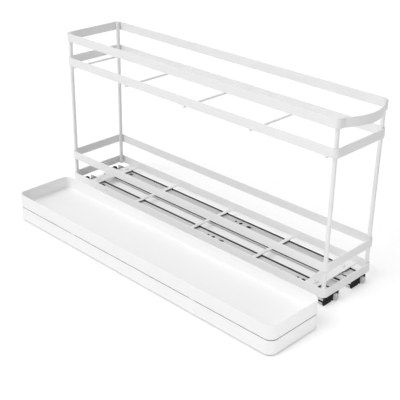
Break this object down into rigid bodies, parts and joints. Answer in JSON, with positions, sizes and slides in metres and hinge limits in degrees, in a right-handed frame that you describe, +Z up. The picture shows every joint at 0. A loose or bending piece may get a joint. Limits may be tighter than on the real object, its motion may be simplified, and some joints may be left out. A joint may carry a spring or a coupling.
{
  "type": "pull-out cabinet basket",
  "caption": "Narrow two-tier flat-bar basket with a bowed front handle, on telescopic floor runners, with loose trays that lift out.",
  "frame": {"origin": "centre of the four floor screw holes of the two runners, on the cabinet floor", "axes": "-Y is the front, the way the basket pulls out; +X is to the right as seen from the front; +Z is up; the trays stand on the -X side"},
  "size_m": [0.2325, 0.524, 0.2487],
  "materials": {
    "white_powder_coat": "satin",
    "galvanised_steel": "bright zinc",
    "ball_steel": "polished",
    "white_screw_lacquer": "satin",
    "black_plastic": "matte",
    "grey_plastic": "satin",
    "white_plastic": "satin"
  },
  "bodies": {
    "cabinet_side": {"left_cabinet_rail": "galvanised_steel", "right_cabinet_rail": "galvanised_steel", "left_rear_bumper": "black_plastic", "right_rear_bumper": "black_plastic"},
    "basket": {"left_basket_rail": "galvanised_steel", "left_front_plug": "black_plastic", "left_release_catch": "grey_plastic", "right_basket_rail": "galvanised_steel", "right_front_plug": "black_plastic", "right_release_catch": "grey_plastic", "front_cross_plate": "white_powder_coat", "rear_cross_plate": "white_powder_coat", "plate_screws": "white_screw_lacquer", "floor_bar_1": "white_powder_coat", "floor_bar_2": "white_powder_coat", "floor_bar_3": "white_powder_coat", "base_loop": "white_powder_coat", "guard_loop": "white_powder_coat", "tier_loop": "white_powder_coat", "top_rail": "white_powder_coat", "front_left_post": "white_powder_coat", "front_right_post": "white_powder_coat", "rear_left_post": "white_powder_coat", "rear_right_post": "white_powder_coat", "tier_wire_1": "white_powder_coat", "tier_wire_2": "white_powder_coat", "tier_wire_3": "white_powder_coat", "tier_wire_4": "white_powder_coat", "tier_wire_5": "white_powder_coat"},
    "left_middle": {"left_middle_rail": "galvanised_steel"},
    "left_inner_bearing": {"left_inner_cage": "galvanised_steel", "left_inner_balls": "ball_steel"},
    "left_outer_bearing": {"left_outer_cage": "galvanised_steel", "left_outer_balls": "ball_steel"},
    "right_middle": {"right_middle_rail": "galvanised_steel"},
    "right_inner_bearing": {"right_inner_cage": "galvanised_steel", "right_inner_balls": "ball_steel"},
    "right_outer_bearing": {"right_outer_cage": "galvanised_steel", "right_outer_balls": "ball_steel"},
    "lower_tray": {"lower_tray": "white_plastic"},
    "upper_tray": {"upper_tray": "white_plastic"}
  },
  "joints": [
    {"name": "basket_slide", "type": "slide", "parent": "cabinet_side", "child": "basket", "axis": [0, -1, 0], "range_m": [0, 0.45]},
    {"name": "left_inner_bearing_slide", "type": "slide", "parent": "cabinet_side", "child": "left_inner_bearing", "axis": [0, -1, 0], "range_m": [0, 0.1125]},
    {"name": "left_middle_slide", "type": "slide", "parent": "cabinet_side", "child": "left_middle", "axis": [0, -1, 0], "range_m": [0, 0.225]},
    {"name": "left_outer_bearing_slide", "type": "slide", "parent": "cabinet_side", "child": "left_outer_bearing", "axis": [0, -1, 0], "range_m": [0, 0.3375]},
    {"name": "right_inner_bearing_slide", "type": "slide", "parent": "cabinet_side", "child": "right_inner_bearing", "axis": [0, -1, 0], "range_m": [0, 0.1125]},
    {"name": "right_middle_slide", "type": "slide", "parent": "cabinet_side", "child": "right_middle", "axis": [0, -1, 0], "range_m": [0, 0.225]},
    {"name": "right_outer_bearing_slide", "type": "slide", "parent": "cabinet_side", "child": "right_outer_bearing", "axis": [0, -1, 0], "range_m": [0, 0.3375]},
    {"name": "lower_tray_lift", "type": "slide", "parent": "cabinet_side", "child": "lower_tray", "axis": [0, 0, 1], "range_m": [0, 0.3]},
    {"name": "upper_tray_lift", "type": "slide", "parent": "lower_tray", "child": "upper_tray", "axis": [0, 0, 1], "range_m": [0, 0.2]}
  ],
  "couplings": [
    {"joint": "left_inner_bearing_slide", "follows": "basket_slide", "ratio": 0.25},
    {"joint": "left_middle_slide", "follows": "basket_slide", "ratio": 0.5},
    {"joint": "left_outer_bearing_slide", "follows": "basket_slide", "ratio": 0.75},
    {"joint": "right_inner_bearing_slide", "follows": "basket_slide", "ratio": 0.25},
    {"joint": "right_middle_slide", "follows": "basket_slide", "ratio": 0.5},
    {"joint": "right_outer_bearing_slide", "follows": "basket_slide", "ratio": 0.75}
  ]
}
